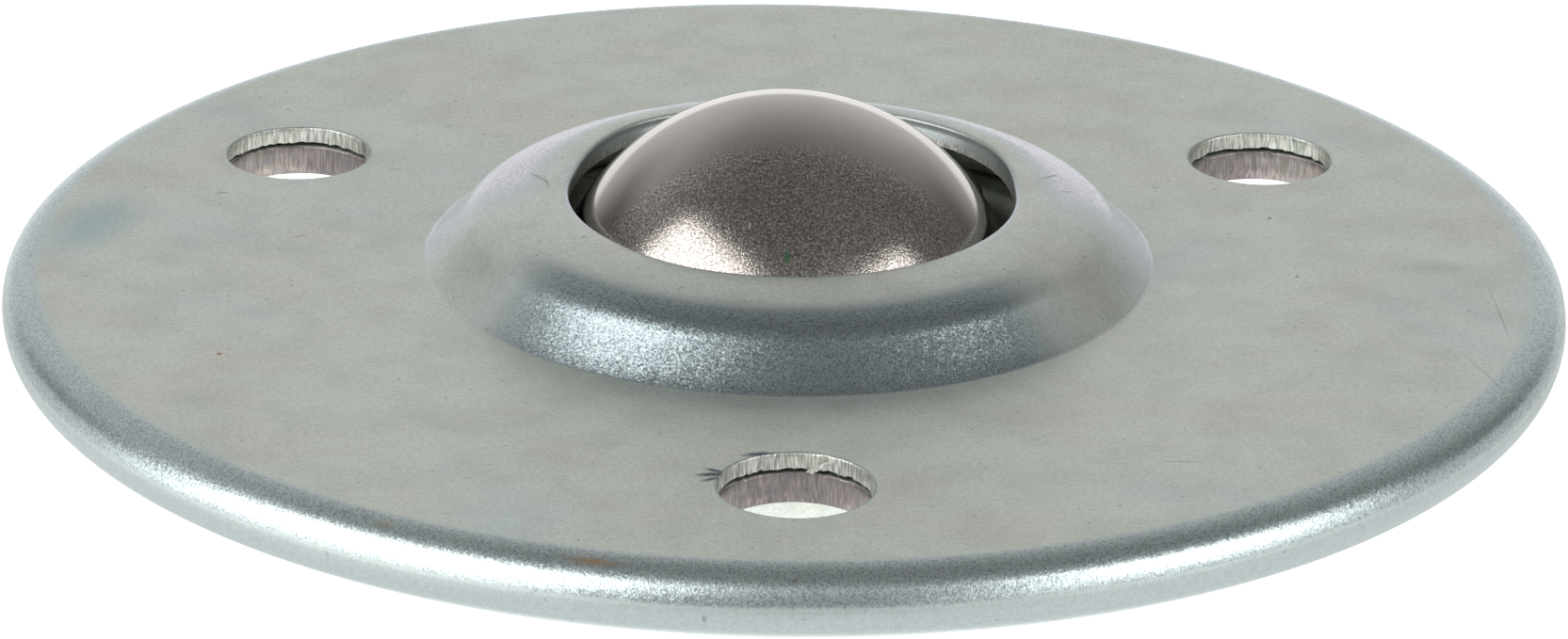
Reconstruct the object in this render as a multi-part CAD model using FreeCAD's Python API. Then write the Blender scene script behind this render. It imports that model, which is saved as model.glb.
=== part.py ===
# Flange-mounted ball castor: a large steel ball that rolls on rows of small balls in a pressed cup.
# Millimetres. The origin is the centre of the flange's top face, and +Z points out through the ball.
import FreeCAD
import Part
import math
import os

from FreeCAD import Vector

# Flange and rolled rim of the cover
flange_diameter = 72.0
cover_thickness = 0.95
hem_width = 3.2
hem_gap = 0.15

# Raised dome of the cover, sizes on its outer face
dome_margin_round_cup = 2.5
dome_height = 3.25
dome_crown_radius = 8.8
dome_crown_angle = 22.0
dome_shoulder_radius = 2.5
dome_wall_angle = 47.0
dome_base_fillet = 0.3
opening_overlap_on_ball = 0.6925
punched_edge_roll = 0.2

# Fixing holes, one towards -Y
hole_count = 3
hole_distance_from_edge = 9.5
hole_diameter = 6.8
first_hole_angle = 270.0
hole_edge_roll = 0.15

# Lower plate and its drawn cup
plate_thickness = 1.45
plate_edge_clearance = 0.05
cup_draw_radius = 0.5
cup_foot_radius = 4.2

# Balls; a support ball is a seventh of the load ball, as 1/8 in goes with 7/8 in
load_ball_diameter = 22.225
load_ball_depth = 3.5
support_balls_across_load_ball = 7
running_clearance = 0.05
ball_side_gap = 0.04
row_gap = 0.08
row_count = 7
single_rows = (1, 2, row_count)
balls_left_out_of_top_row = 3
top_row_gap_angle = 20.0

# Lengths worked out from those sizes
flange_radius = flange_diameter / 2
cover_underside = -cover_thickness
plate_underside = cover_underside - plate_thickness
hem_underside = plate_underside - hem_gap - cover_thickness
rim_radius = -hem_underside / 2
rim_centre_radius = flange_radius - rim_radius
hem_inner_radius = rim_centre_radius - hem_width
hole_circle_radius = flange_radius - hole_distance_from_edge
load_ball_radius = load_ball_diameter / 2
load_ball_centre = -load_ball_depth
support_ball_diameter = load_ball_diameter / support_balls_across_load_ball
support_ball_radius = support_ball_diameter / 2
pitch_radius = load_ball_radius + running_clearance + support_ball_radius
race_radius = pitch_radius + support_ball_radius + running_clearance
row_spacing_angle = math.degrees(2 * math.asin((support_ball_diameter + row_gap) / (2 * pitch_radius)))
cup_outer_radius = race_radius + plate_thickness
dome_base_radius = race_radius + dome_margin_round_cup
opening_radius = load_ball_radius - opening_overlap_on_ball
axis_point = Vector(0, 0, 0)
up = Vector(0, 0, 1)
roll_axis = Vector(1, 0, 0)


def point(radius, height):
    """A point of a turned profile."""
    return Vector(radius, 0, height)


def on_circle(centre, radius, angle):
    """The point of a circle in the profile plane, with the angle counted from straight up."""
    turn = math.radians(angle)
    return centre + Vector(radius * math.sin(turn), 0, radius * math.cos(turn))


def line(start, end):
    return Part.LineSegment(start, end).toShape()


def arc(centre, radius, first_angle, last_angle):
    """An arc in the profile plane through three of its points."""
    middle_angle = (first_angle + last_angle) / 2
    ends = [on_circle(centre, radius, angle) for angle in (first_angle, middle_angle, last_angle)]
    return Part.Arc(*ends).toShape()


def joined(edges):
    """The edges with straight lines put in wherever one ends away from the next one's start."""
    chain = []
    for edge, following in zip(edges, edges[1:] + edges[:1]):
        chain.append(edge)
        gap_start = edge.valueAt(edge.LastParameter)
        gap_end = following.valueAt(following.FirstParameter)
        if gap_start.distanceToPoint(gap_end) > Part.Precision.confusion():
            chain.append(line(gap_start, gap_end))
    return chain


def turned(edges):
    """A solid of revolution about the Z axis from a closed profile."""
    face = Part.Face(Part.Wire(joined(edges)))
    return face.revolve(axis_point, up, 360)


def punch(radius, top, bottom, edge_roll):
    """A round punch that also rolls the edge it enters by."""
    overrun = plate_thickness
    roll_centre = point(radius + edge_roll, top - edge_roll)
    return turned([
        line(point(0, bottom - overrun), point(radius, bottom - overrun)),
        arc(roll_centre, edge_roll, -90, 0),
        line(point(radius + edge_roll, top + overrun), point(0, top + overrun)),
    ])


def fixing_hole_centres():
    for number in range(hole_count):
        turn = math.radians(first_hole_angle + number * 360 / hole_count)
        yield Vector(hole_circle_radius * math.cos(turn), hole_circle_radius * math.sin(turn), 0)


def dome_centres():
    """Centres of the dome's base fillet, shoulder and crown arcs, in that order."""
    wall = math.radians(dome_wall_angle)
    crown = math.radians(dome_crown_angle)
    fillet_rise = dome_base_fillet * (1 - math.cos(wall))
    shoulder_rise = dome_shoulder_radius * (math.cos(crown) - math.cos(wall))
    crown_rise = dome_crown_radius * (1 - math.cos(crown))
    wall_rise = dome_height - fillet_rise - shoulder_rise - crown_rise
    wall_run = wall_rise / math.tan(wall)
    fillet_centre = point(dome_base_radius, dome_base_fillet)
    wall_top = on_circle(fillet_centre, -dome_base_fillet, dome_wall_angle) + point(-wall_run, wall_rise)
    shoulder_centre = on_circle(wall_top, -dome_shoulder_radius, dome_wall_angle)
    crown_offset = dome_shoulder_radius - dome_crown_radius
    crown_centre = on_circle(shoulder_centre, crown_offset, dome_crown_angle)
    return fillet_centre, shoulder_centre, crown_centre


def cover():
    """One pressed sheet: flat flange, raised dome with a punched opening, rim rolled under and hemmed."""
    fillet_centre, shoulder_centre, crown_centre = dome_centres()
    rim_centre = point(rim_centre_radius, -rim_radius)
    outer_side = [
        line(point(0, dome_height), point(crown_centre.x, dome_height)),
        arc(crown_centre, dome_crown_radius, 0, dome_crown_angle),
        arc(shoulder_centre, dome_shoulder_radius, dome_crown_angle, dome_wall_angle),
        arc(fillet_centre, dome_base_fillet, dome_wall_angle + 180, 180),
        arc(rim_centre, rim_radius, 0, 180),
        line(point(hem_inner_radius, hem_underside), point(hem_inner_radius, hem_underside + cover_thickness)),
    ]
    inner_side = [
        arc(rim_centre, rim_radius - cover_thickness, 180, 0),
        arc(fillet_centre, dome_base_fillet + cover_thickness, 180, dome_wall_angle + 180),
        arc(shoulder_centre, dome_shoulder_radius - cover_thickness, dome_wall_angle, dome_crown_angle),
        arc(crown_centre, dome_crown_radius - cover_thickness, dome_crown_angle, 0),
        line(point(0, dome_height - cover_thickness), point(0, dome_height)),
    ]
    sheet = turned(outer_side + inner_side)
    sheet = sheet.cut(punch(opening_radius, dome_height, dome_height - cover_thickness, punched_edge_roll))
    for centre in fixing_hole_centres():
        hole = punch(hole_diameter / 2, 0, cover_underside, hole_edge_roll)
        sheet = sheet.cut(hole.translated(centre))
    return sheet


def cup_plate():
    """One thicker pressing: flat plate held in the hem, drawn into the round cup the balls run in."""
    ball_centre = point(0, load_ball_centre)
    plate_radius = rim_centre_radius - plate_edge_clearance
    draw_centre = point(cup_outer_radius + cup_draw_radius, plate_underside - cup_draw_radius)
    foot_drop = math.sqrt(cup_outer_radius ** 2 - cup_foot_radius ** 2)
    foot_level = load_ball_centre - foot_drop
    foot_angle = 180 - math.degrees(math.asin(cup_foot_radius / cup_outer_radius))
    pressing = turned([
        line(point(0, foot_level), point(cup_foot_radius, foot_level)),
        arc(ball_centre, cup_outer_radius, foot_angle, 90),
        arc(draw_centre, cup_draw_radius, -90, 0),
        line(point(plate_radius, plate_underside), point(plate_radius, cover_underside)),
        arc(draw_centre, cup_draw_radius + plate_thickness, 0, -90),
        arc(ball_centre, race_radius, 90, 180),
    ])
    for centre in fixing_hole_centres():
        foot = centre + Vector(0, 0, plate_underside - plate_thickness)
        drill = Part.makeCylinder(hole_diameter / 2, 3 * plate_thickness, foot, up)
        pressing = pressing.cut(drill)
    return pressing


def load_ball():
    """The ball that carries the load, its seam about the axis it rolls on."""
    return Part.makeSphere(load_ball_radius, Vector(0, 0, load_ball_centre), roll_axis)


def support_ball(row, turn_angle):
    """One small ball touching the load ball, its row counted up from the bottom of the cup."""
    polar = math.radians(row * row_spacing_angle)
    turn = math.radians(turn_angle)
    row_radius = pitch_radius * math.sin(polar)
    height = load_ball_centre - pitch_radius * math.cos(polar)
    centre = Vector(row_radius * math.cos(turn), row_radius * math.sin(turn), height)
    return Part.makeSphere(support_ball_radius, centre)


def places_in_row(row):
    """How many small balls fit round a row side by side."""
    row_radius = pitch_radius * math.sin(math.radians(row * row_spacing_angle))
    half_share = math.asin((support_ball_diameter + ball_side_gap) / (2 * row_radius))
    return math.floor(math.pi / half_share)


def support_ball_row(row):
    """The row's balls, evenly spread; the top row keeps a gap so that the balls can circulate."""
    places = places_in_row(row)
    pitch_angle = 360 / places
    left_out = balls_left_out_of_top_row if row == row_count else 0
    first_angle = top_row_gap_angle + pitch_angle * (left_out + 1) / 2
    return [support_ball(row, first_angle + number * pitch_angle) for number in range(places - left_out)]


def pieces():
    """Every piece by its name."""
    named = {
        "cover": cover(),
        "cup_plate": cup_plate(),
        "load_ball": load_ball(),
        "support_ball_centre": support_ball(0, 0),
    }
    for row in range(1, row_count + 1):
        balls = support_ball_row(row)
        if row in single_rows:
            for number, ball in enumerate(balls, 1):
                named[f"support_ball_row_{row}_{number:02d}"] = ball
        else:
            named[f"support_balls_row_{row}"] = Part.makeCompound(balls)
    return named


os.makedirs("parts", exist_ok=True)
for name, shape in pieces().items():
    shape.exportStep(f"parts/{name}.step")
    print(f"{name}: {len(shape.Solids)} solid, {shape.Volume:.2f} mm3, valid {shape.isValid()}")
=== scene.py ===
# The looks of a flange-mounted ball castor, built round the frame of its solids.
# Shapes are worked out in millimetres and turned to metres when a mesh is made.
import math
import bmesh
import bpy
import numpy as np
from mathutils import Matrix, Vector


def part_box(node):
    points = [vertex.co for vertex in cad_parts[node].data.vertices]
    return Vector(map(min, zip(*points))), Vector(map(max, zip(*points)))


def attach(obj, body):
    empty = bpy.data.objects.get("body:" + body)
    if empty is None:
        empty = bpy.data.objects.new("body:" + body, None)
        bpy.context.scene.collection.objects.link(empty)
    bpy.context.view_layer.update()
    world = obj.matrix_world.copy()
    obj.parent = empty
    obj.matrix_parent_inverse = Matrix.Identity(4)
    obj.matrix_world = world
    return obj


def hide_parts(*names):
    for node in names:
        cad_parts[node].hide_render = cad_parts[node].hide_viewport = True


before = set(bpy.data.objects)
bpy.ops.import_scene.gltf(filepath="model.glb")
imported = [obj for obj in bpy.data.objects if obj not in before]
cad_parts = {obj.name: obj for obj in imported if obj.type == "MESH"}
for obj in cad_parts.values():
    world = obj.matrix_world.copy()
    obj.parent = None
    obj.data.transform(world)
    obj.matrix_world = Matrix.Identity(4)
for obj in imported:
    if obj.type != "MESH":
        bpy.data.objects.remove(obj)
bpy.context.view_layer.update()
mm = 0.001
print("frame loaded")

# sizes read from the frame, in mm
coverLow, coverHigh = (np.array(corner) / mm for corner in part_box("cover"))
plateLow, plateHigh = (np.array(corner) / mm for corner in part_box("cup_plate"))
ballLow, ballHigh = (np.array(corner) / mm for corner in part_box("load_ball"))
flangeRadius = coverHigh[0]
domeHeight = coverHigh[2]
hemUnderside = coverLow[2]
plateRadius = plateHigh[0]
plateTop = plateHigh[2]
footLevel = plateLow[2]
ballRadius = (ballHigh[0] - ballLow[0]) / 2
ballCentre = (ballHigh + ballLow) / 2

holes = {                        # the three punched fixing holes
    "radius": 3.4,
    "circleRadius": 26.5,
    "columns": (0, 120, 240),    # the column of the turned grid that each centre lies on
    "windowRadii": (21.5, 31.5),
    "windowColumns": 12,         # half the width of the square cut out of the grid for a hole
    "windowRows": 12,
    "rings": 5,                  # rings from a window's square edge to the circle round its hole
    "fanWidth": 0.35,            # width of the fan of triangles from that circle to the finer hole
    "fineness": 5,               # points round a hole for each point round its window
}
columnAngles = np.radians(270 + np.arange(360))
holePoints = (4 * holes["windowColumns"] + 2 * holes["windowRows"]) * holes["fineness"]


def arcPoints(centre, radius, first, last, steps):
    # (r, z) = centre + radius (sin a, cos a), the angle a going from first to last in degrees
    a = np.radians(np.linspace(first, last, steps + 1))
    return np.column_stack((centre[0] + radius * np.sin(a), centre[1] + radius * np.cos(a)))


def linePoints(start, end, steps):
    # points evenly spaced on the straight line from start to end
    t = np.linspace(0, 1, steps + 1)[:, None]
    return np.array(start) * (1 - t) + np.array(end) * t


def turnProfile(profile, angles=columnAngles):
    # (r, z) of the profile carried round Z: x = r cos a, y = r sin a
    r = profile[:, :1]
    z = np.broadcast_to(profile[:, 1:], (len(profile), len(angles)))
    return np.stack((r * np.cos(angles), r * np.sin(angles), z), axis=-1)


def gridFaces(rows, columns, closeRows=False):
    # quads between neighbouring rows and columns; the columns, and if asked the rows, wrap round
    i = np.arange(rows if closeRows else rows - 1)[:, None]
    j = np.arange(columns)[None, :]
    nextRow = (i + 1) % rows
    nextColumn = (j + 1) % columns
    corners = (i * columns + j, i * columns + nextColumn,
               nextRow * columns + nextColumn, nextRow * columns + j)
    return np.stack(np.broadcast_arrays(*corners), axis=-1).reshape(-1, 4)


def jagged(count, knots, seed):
    # a closed line of random heights in -1..1, straight between its knots
    heights = np.random.default_rng(seed).uniform(-1, 1, knots)
    return np.interp(np.arange(count) * knots / count, np.arange(knots + 1), np.append(heights, heights[0]))


def softWave(angles, lowest, highest, seed):
    # sum over whole numbers k of cos(k a + random phase) / k, scaled to about -1..1
    k = np.arange(lowest, highest + 1)
    phase = np.random.default_rng(seed).uniform(0, 2 * np.pi, len(k))
    wave = (np.cos(np.multiply.outer(angles, k) + phase) / k).sum(axis=-1)
    return wave / np.sqrt((1 / k ** 2).sum())


def towards(heading, start, width):
    # t * t * (3 - 2 t) round the columns, t being how far the cosine of the angle from the heading
    # stands above start, as a share of the width
    t = np.clip((np.cos(columnAngles - math.radians(heading)) - start) / width, 0, 1)
    return t ** 2 * (3 - 2 * t)


def windowMask(rowCount, firstRow):
    # true for the grid's cells outside the windows that the fixing holes are set in
    keep = np.ones((rowCount, len(columnAngles)), bool)
    half = holes["windowColumns"]
    for column in holes["columns"]:
        spread = np.arange(column - half, column + half) % len(columnAngles)
        keep[firstRow:firstRow + holes["windowRows"], spread] = False
    return keep


def holeParts(grid, firstRow, column, wall, number=1):
    # Fills one window: rings shrink from its square edge to a circle, a fan of triangles leads to a
    # finer circle, and the wall's rings, given as offsets from the hole's radius and heights, follow.
    half, rows, fineness = holes["windowColumns"], holes["windowRows"], holes["fineness"]
    along = np.arange(-half, half)
    down = np.arange(rows)
    rowPath = np.concatenate((0 * along, down, 0 * along + rows, rows - down))
    columnPath = np.concatenate((along, 0 * down + half, -along, 0 * down - half))
    edge = grid[firstRow + rowPath, (columnPath + column) % len(columnAngles)]
    turn = columnAngles[column]
    centre = np.array((holes["circleRadius"] * np.cos(turn), holes["circleRadius"] * np.sin(turn), 0))
    sight = edge - centre
    around = np.unwrap(np.arctan2(sight[:, 1], sight[:, 0]))
    reach = holes["radius"] + wall[0][0] + holes["fanWidth"]
    ring = np.stack((centre[0] + reach * np.cos(around), centre[1] + reach * np.sin(around), edge[:, 2]),
                    axis=-1)
    t = np.linspace(0, 1, holes["rings"])[:, None, None]
    rings = edge * (1 - t) + ring * t
    count = len(edge)
    fineCount = count * fineness
    closed = np.append(around, around[0] + 2 * np.pi * np.sign(around[-1] - around[0]))
    fine = np.interp(np.arange(fineCount) / fineness, np.arange(count + 1), closed)
    radii = np.array([np.broadcast_to(out, fineCount) for out, z in wall])
    radii = radii + holes["radius"] + holeDrag(number, fine)
    heights = np.array([np.broadcast_to(z, fineCount) for out, z in wall])
    wallRings = np.stack((centre[0] + radii * np.cos(fine), centre[1] + radii * np.sin(fine), heights),
                         axis=-1)
    k = np.arange(count)
    base = (holes["rings"] - 1) * count
    first = len(rings.reshape(-1, 3))
    following = (k + 1) % count
    step = (k[:, None] * fineness + np.arange(fineness, -1, -1)) % fineCount
    fan = np.column_stack((base + k, base + following, first + step))
    points = np.concatenate((rings.reshape(-1, 3), wallRings.reshape(-1, 3)))
    ringFaces = gridFaces(holes["rings"], count)
    wallFaces = first + gridFaces(len(wall), fineCount)
    return points, ringFaces, fan, wallFaces


def makePiece(name, chunks, body, materials, angle=50):
    # Joins the chunks into one mesh and welds points that meet. A chunk is its points in mm, a list of
    # face arrays with a material number each, and two paints for each point: how far the dies burnished
    # it, which also lays the darker burnished colour as painted shade, and how far it has the smooth
    # band's colours, which on the dome's far slopes and the opening's lip are a painted reflection and a
    # painted highlight.
    points, faces, slots, painted = [], [], [], []
    start = 0
    for chunkPoints, chunkFaces, chunkPaint in chunks:
        flat = chunkPoints.reshape(-1, 3)
        points.append(flat)
        painted.append(np.broadcast_to(chunkPaint, (len(flat), 2)))
        for block, slot in chunkFaces:
            faces.extend((block + start).tolist())
            slots.append(np.full(len(block), slot))
        start += len(flat)
    mesh = bpy.data.meshes.new(name)
    mesh.from_pydata((np.concatenate(points) * mm).tolist(), [], faces)
    mesh.polygons.foreach_set("material_index", np.concatenate(slots).astype(np.int32))
    for column, paint in enumerate(("formedAndShade", "band")):
        layer = mesh.attributes.new(paint, "FLOAT", "POINT")
        layer.data.foreach_set("value", np.concatenate(painted)[:, column].astype(np.float32))
    edit = bmesh.new()
    edit.from_mesh(mesh)
    bmesh.ops.remove_doubles(edit, verts=edit.verts, dist=0.0005 * mm)
    bmesh.ops.recalc_face_normals(edit, faces=edit.faces)
    edit.to_mesh(mesh)
    edit.free()
    mesh.shade_smooth()
    mesh.set_sharp_from_angle(angle=math.radians(angle))
    for material in materials:
        mesh.materials.append(material)
    piece = bpy.data.objects.new(name, mesh)
    bpy.context.scene.collection.objects.link(piece)
    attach(piece, body)
    print(f"{name}: {len(mesh.vertices)} points")
    return piece


def linear(hexColour):
    # an sRGB hex colour as linear red, green, blue and 1
    channels = [int(hexColour[i:i + 2], 16) / 255 for i in (1, 3, 5)]
    return [c / 12.92 if c <= 0.04045 else ((c + 0.055) / 1.055) ** 2.4 for c in channels] + [1]


def addNode(tree, kind, inputs=None, **settings):
    # one node, its settings, and each input given either a value or the socket that feeds it
    node = tree.nodes.new(kind)
    for name, value in settings.items():
        setattr(node, name, value)
    for name, value in (inputs or {}).items():
        if isinstance(value, bpy.types.NodeSocket):
            tree.links.new(value, node.inputs[name])
        else:
            node.inputs[name].default_value = value
    return node


def newMaterial(name):
    # an empty material with its shader and the piece's own coordinates
    material = bpy.data.materials.new(name)
    material.use_nodes = True
    tree = material.node_tree
    tree.nodes.clear()
    shader = addNode(tree, "ShaderNodeBsdfPrincipled")
    addNode(tree, "ShaderNodeOutputMaterial", {"Surface": shader.outputs[0]})
    place = addNode(tree, "ShaderNodeTexCoord").outputs["Object"]
    return material, tree, shader, place


def grainAt(tree, place, size, stretch=(1, 1, 1), detail=2.0, roughness=0.5, distortion=0.0):
    # noise whose grains are about size mm across, longer along an axis by its stretch
    scale = [1 / (size * mm * s) for s in stretch]
    scaled = addNode(tree, "ShaderNodeMapping", {"Vector": place, "Scale": scale})
    return addNode(tree, "ShaderNodeTexNoise", {
        "Vector": scaled.outputs[0], "Scale": 1.0, "Detail": detail, "Roughness": roughness,
        "Distortion": distortion}).outputs["Fac"]


def ranged(tree, value, low, high, toLow=0.0, toHigh=1.0, style="SMOOTHSTEP"):
    # value carried from low..high to toLow..toHigh and held there
    return addNode(tree, "ShaderNodeMapRange", {
        "Value": value, "From Min": low, "From Max": high, "To Min": toLow, "To Max": toHigh},
        interpolation_type=style).outputs[0]


def calculated(tree, operation, *values):
    # one sum on sockets or numbers
    return addNode(tree, "ShaderNodeMath", dict(enumerate(values)), operation=operation).outputs[0]


def tinted(tree, share, base, tint):
    # base with the tint laid over it by the share
    return addNode(tree, "ShaderNodeMix", {"Factor": share, "A": base, "B": tint},
                   data_type="RGBA").outputs["Result"]


def markAt(tree, place, centre, size, turn=0, hardness=0.5, breakup=0.0, grain=0.3):
    # a soft oval patch: 1 inside, 0 past its half sizes (1.2 mm upright where none is given);
    # breakup eats into it with noise
    centre = [c * mm for c in centre] + [0] * (3 - len(centre))
    size = [c * mm for c in size] + [1.2 * mm] * (3 - len(size))
    moved = addNode(tree, "ShaderNodeMapping", {
        "Vector": place, "Location": centre, "Rotation": (0, 0, math.radians(turn)), "Scale": size},
        vector_type="TEXTURE").outputs[0]
    far = addNode(tree, "ShaderNodeVectorMath", {0: moved}, operation="LENGTH").outputs["Value"]
    if breakup:
        noise = grainAt(tree, place, grain, detail=3)
        far = calculated(tree, "MULTIPLY_ADD", noise, breakup * 2, calculated(tree, "SUBTRACT", far, breakup))
    return ranged(tree, far, 1.0, hardness)


def zincSheet():
    # Mild steel sheet, cold rolled, electroplated with zinc and pressed: a soft grey-green sheen with
    # faint rolling lines, and a brighter, bluer, pebbled skin where the dies burnished it. Near the dome
    # that skin's colour is darker, and on the dome's side towards -Y, in the opening and round the holes'
    # top edges it is painted shade; the dome's far slopes carry a near-white painted reflection of the
    # sweep behind, and the opening's near lip a painted highlight.
    look = {
        "flat": "#E4EAE2",
        # darker than the flat: painted shade on the dome's side towards -Y, in the opening, round the holes
        "shoulder": "#AEBBBF",
        "rim": "#D8E5E6",
        "band": "#C4CFD0",       # the smooth lower half of the rim
        "paintedSheen": "#F2F3FA",      # a painted reflection of the sweep on the dome's far slopes, a painted highlight on the near lip
        "warm": "#E0E1D4",
        "blue": "#D2E4E7",
        "mottle": "#A6A9A0",
        "pit": "#66747A",        # between the pebbles
        "skin": "#8F928A",       # the darkest of the fine grain
        "grain": "#A3A79F",
        "speck": "#8F8F86",
        "flatRoughness": 0.45,
        "formedRoughness": 0.31,
        "pebble": 0.1,           # mm across
        "pebbleDepth": 0.006,    # mm
        "tilt": 0.11,            # how far the pebbles' facets lean
        "rollLine": 0.12,        # mm between rolling lines
        "rollDepth": 0.0035,
        "skinDepth": 0.003,
        "rimStart": (25, 31),    # radii in mm between which the shoulder's colour gives way to the rim's
        "bandStart": (20, 30),   # and the painted sheen's to the band's
    }
    material, tree, shader, place = newMaterial("zinc_plated_sheet")
    formedAndShade = addNode(tree, "ShaderNodeAttribute", attribute_name="formedAndShade").outputs["Fac"]
    pebbled = ranged(tree, formedAndShade, 0.5, 1.0, style="LINEAR")
    rolled = grainAt(tree, place, look["rollLine"], (14, 1, 6), detail=3)
    fine = grainAt(tree, place, 0.1, detail=2)
    cloud = grainAt(tree, place, 7.0, (1.4, 1, 1), detail=4, roughness=0.6)
    tintCloud = grainAt(tree, place, 11.0, (1, 1, 1), detail=5, roughness=0.55, distortion=0.6)
    warmth = ranged(tree, cloud, 0.42, 0.68, 0, 0.45)
    colour = tinted(tree, warmth, linear(look["flat"]), linear(look["warm"]))
    colour = tinted(tree, ranged(tree, tintCloud, 0.5, 0.75, 0, 0.45), colour, linear(look["blue"]))
    mottle = grainAt(tree, place, 3.0, detail=5, roughness=0.6)
    colour = tinted(tree, ranged(tree, mottle, 0.4, 0.68, 0, 0.17), colour, linear(look["mottle"]))
    radius = addNode(tree, "ShaderNodeVectorMath", {
        0: addNode(tree, "ShaderNodeVectorMath", {0: place, 1: (1, 1, 0)}, operation="MULTIPLY").outputs[0]},
        operation="LENGTH").outputs["Value"]
    first, last = (r * mm for r in look["rimStart"])
    # the burnished colours; the darker one near the dome is painted shade where the first paint lays it
    burnishedAndShade = tinted(tree, ranged(tree, radius, first, last), linear(look["shoulder"]), linear(look["rim"]))
    colour = tinted(tree, ranged(tree, formedAndShade, 0.1, 0.9, style="LINEAR"), colour, burnishedAndShade)
    band = addNode(tree, "ShaderNodeAttribute", attribute_name="band").outputs["Fac"]
    first, last = (r * mm for r in look["bandStart"])
    # near the dome: a painted reflection on the far slopes and a painted highlight on the near lip
    sheenAndBand = tinted(tree, ranged(tree, radius, first, last), linear(look["paintedSheen"]), linear(look["band"]))
    colour = tinted(tree, band, colour, sheenAndBand)
    pebble = grainAt(tree, place, look["pebble"], detail=1.0)
    pit = calculated(tree, "MULTIPLY", ranged(tree, pebble, 0.52, 0.4), pebbled)
    colour = tinted(tree, calculated(tree, "MULTIPLY", pit, 0.6), colour, linear(look["pit"]))
    marks = (
        # centre, half sizes, turn, hardness, breakup, colour, strength
        ((-32.2, 3.8), (2.8, 6.0), -20, 0.0, 0.3, "#9CC0D2", 0.55),      # bluish patch by the left edge
        ((29.8, -0.8), (3.0, 1.4), 0, 0.0, 0.3, "#B4C9BB", 0.5),         # greenish patch by the right edge
        ((-25.46, -11.98), (0.16, 0.2), 0, 0.3, 0.0, "#B4683A", 0.9),    # rust speck
        ((-8.6, -34.1, -0.3), (1.7, 0.28, 0.5), -14, 0.0, 0.4, "#E0B27C", 0.75),   # rust on the rim's top
        ((-17.5, -30.4, -0.2), (0.7, 0.25, 0.4), -30, 0.0, 0.4, "#C9A983", 0.5),   # and a fainter stain
        ((-4.0, -35.78, -2.2), (0.16, 0.3, 0.32), 0, 0.2, 0.2, "#6E665C", 0.6),    # brown mark on the rim
        ((23.51, -1.95), (0.14, 0.12), 0, 0.3, 0.0, "#4A4C48", 0.8),     # speck
        ((-22.47, 2.4), (0.4, 0.08), 20, 0.2, 0.2, "#55605A", 0.6),      # dark tick
        ((22.81, 5.4), (0.13, 0.13), 0, 0.4, 0.0, "#3A3C3A", 0.9),       # black dot
        ((21.44, 11.0), (0.05, 1.1), 15, 0.3, 0.0, "#3F403C", 0.8),      # fibre
        ((22.38, 11.0), (0.05, 0.85), 18, 0.3, 0.0, "#4A4A45", 0.7),     # fibre
        ((-26.36, 7.89), (0.45, 0.12), 10, 0.2, 0.2, "#5B6C95", 0.7),    # small blue mark
        ((-3.6, -25.3), (0.95, 0.3), 8, 0.2, 0.3, "#2C3850", 0.95),      # blue-black smears by the front hole
        ((-3.45, -24.9), (0.75, 0.24), -32, 0.2, 0.3, "#3A4664", 0.9),
        ((-3.6, -25.8), (0.8, 0.22), 30, 0.2, 0.3, "#2C3850", 0.85),
        ((-1.6, -23.05), (1.0, 0.3), 14, 0.2, 0.3, "#3A4664", 0.9),
        ((16.8, -23.65), (1.45, 0.06), -1, 0.2, 0.3, "#7E827A", 0.6),    # scratches
        ((32.4, -6.5), (0.05, 4.1), 3, 0.2, 0.3, "#8A8E86", 0.5),
        ((31.1, -13.7), (0.05, 3.5), 19.5, 0.2, 0.3, "#8A8E86", 0.5),
        ((-18.27, 11.11), (0.5, 0.07), 25, 0.2, 0.2, "#6A6E66", 0.6),
        ((-11.4, 2.0, 3.2), (0.16, 1.3), 30, 0.0, 0.45, "#6E706A", 0.5),    # scuffs on the dome's top
        ((-11.0, 1.2, 3.2), (0.1, 0.9), 12, 0.0, 0.4, "#7A7C75", 0.6),
        ((12.3, 2.6, 3.2), (0.12, 1.2), -38, 0.0, 0.45, "#6E706A", 0.7),
        ((13.0, 1.0, 3.1), (0.09, 0.8), -55, 0.0, 0.4, "#7A7C75", 0.6),
    )
    for centre, size, turn, hardness, breakup, paint, strength in marks:
        patch = markAt(tree, place, centre, size, turn, hardness, breakup)
        colour = tinted(tree, calculated(tree, "MULTIPLY", patch, strength), colour, linear(paint))
    colour = tinted(tree, ranged(tree, fine, 0.35, 0.65, 0, 0.16), colour, linear(look["skin"]))
    grain = grainAt(tree, place, 0.24, detail=3, roughness=0.7)
    colour = tinted(tree, ranged(tree, grain, 0.4, 0.62, 0, 0.2), colour, linear(look["grain"]))
    speck = ranged(tree, grainAt(tree, place, 0.35, detail=1), 0.72, 0.78, 0, 0.5)
    colour = tinted(tree, speck, colour, linear(look["speck"]))
    rough = addNode(tree, "ShaderNodeMix", {
        "Factor": pebbled, "A": look["flatRoughness"], "B": look["formedRoughness"]},
        data_type="FLOAT").outputs[0]
    rough = calculated(tree, "MULTIPLY_ADD", cloud, 0.08, calculated(tree, "SUBTRACT", rough, 0.04))
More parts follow.
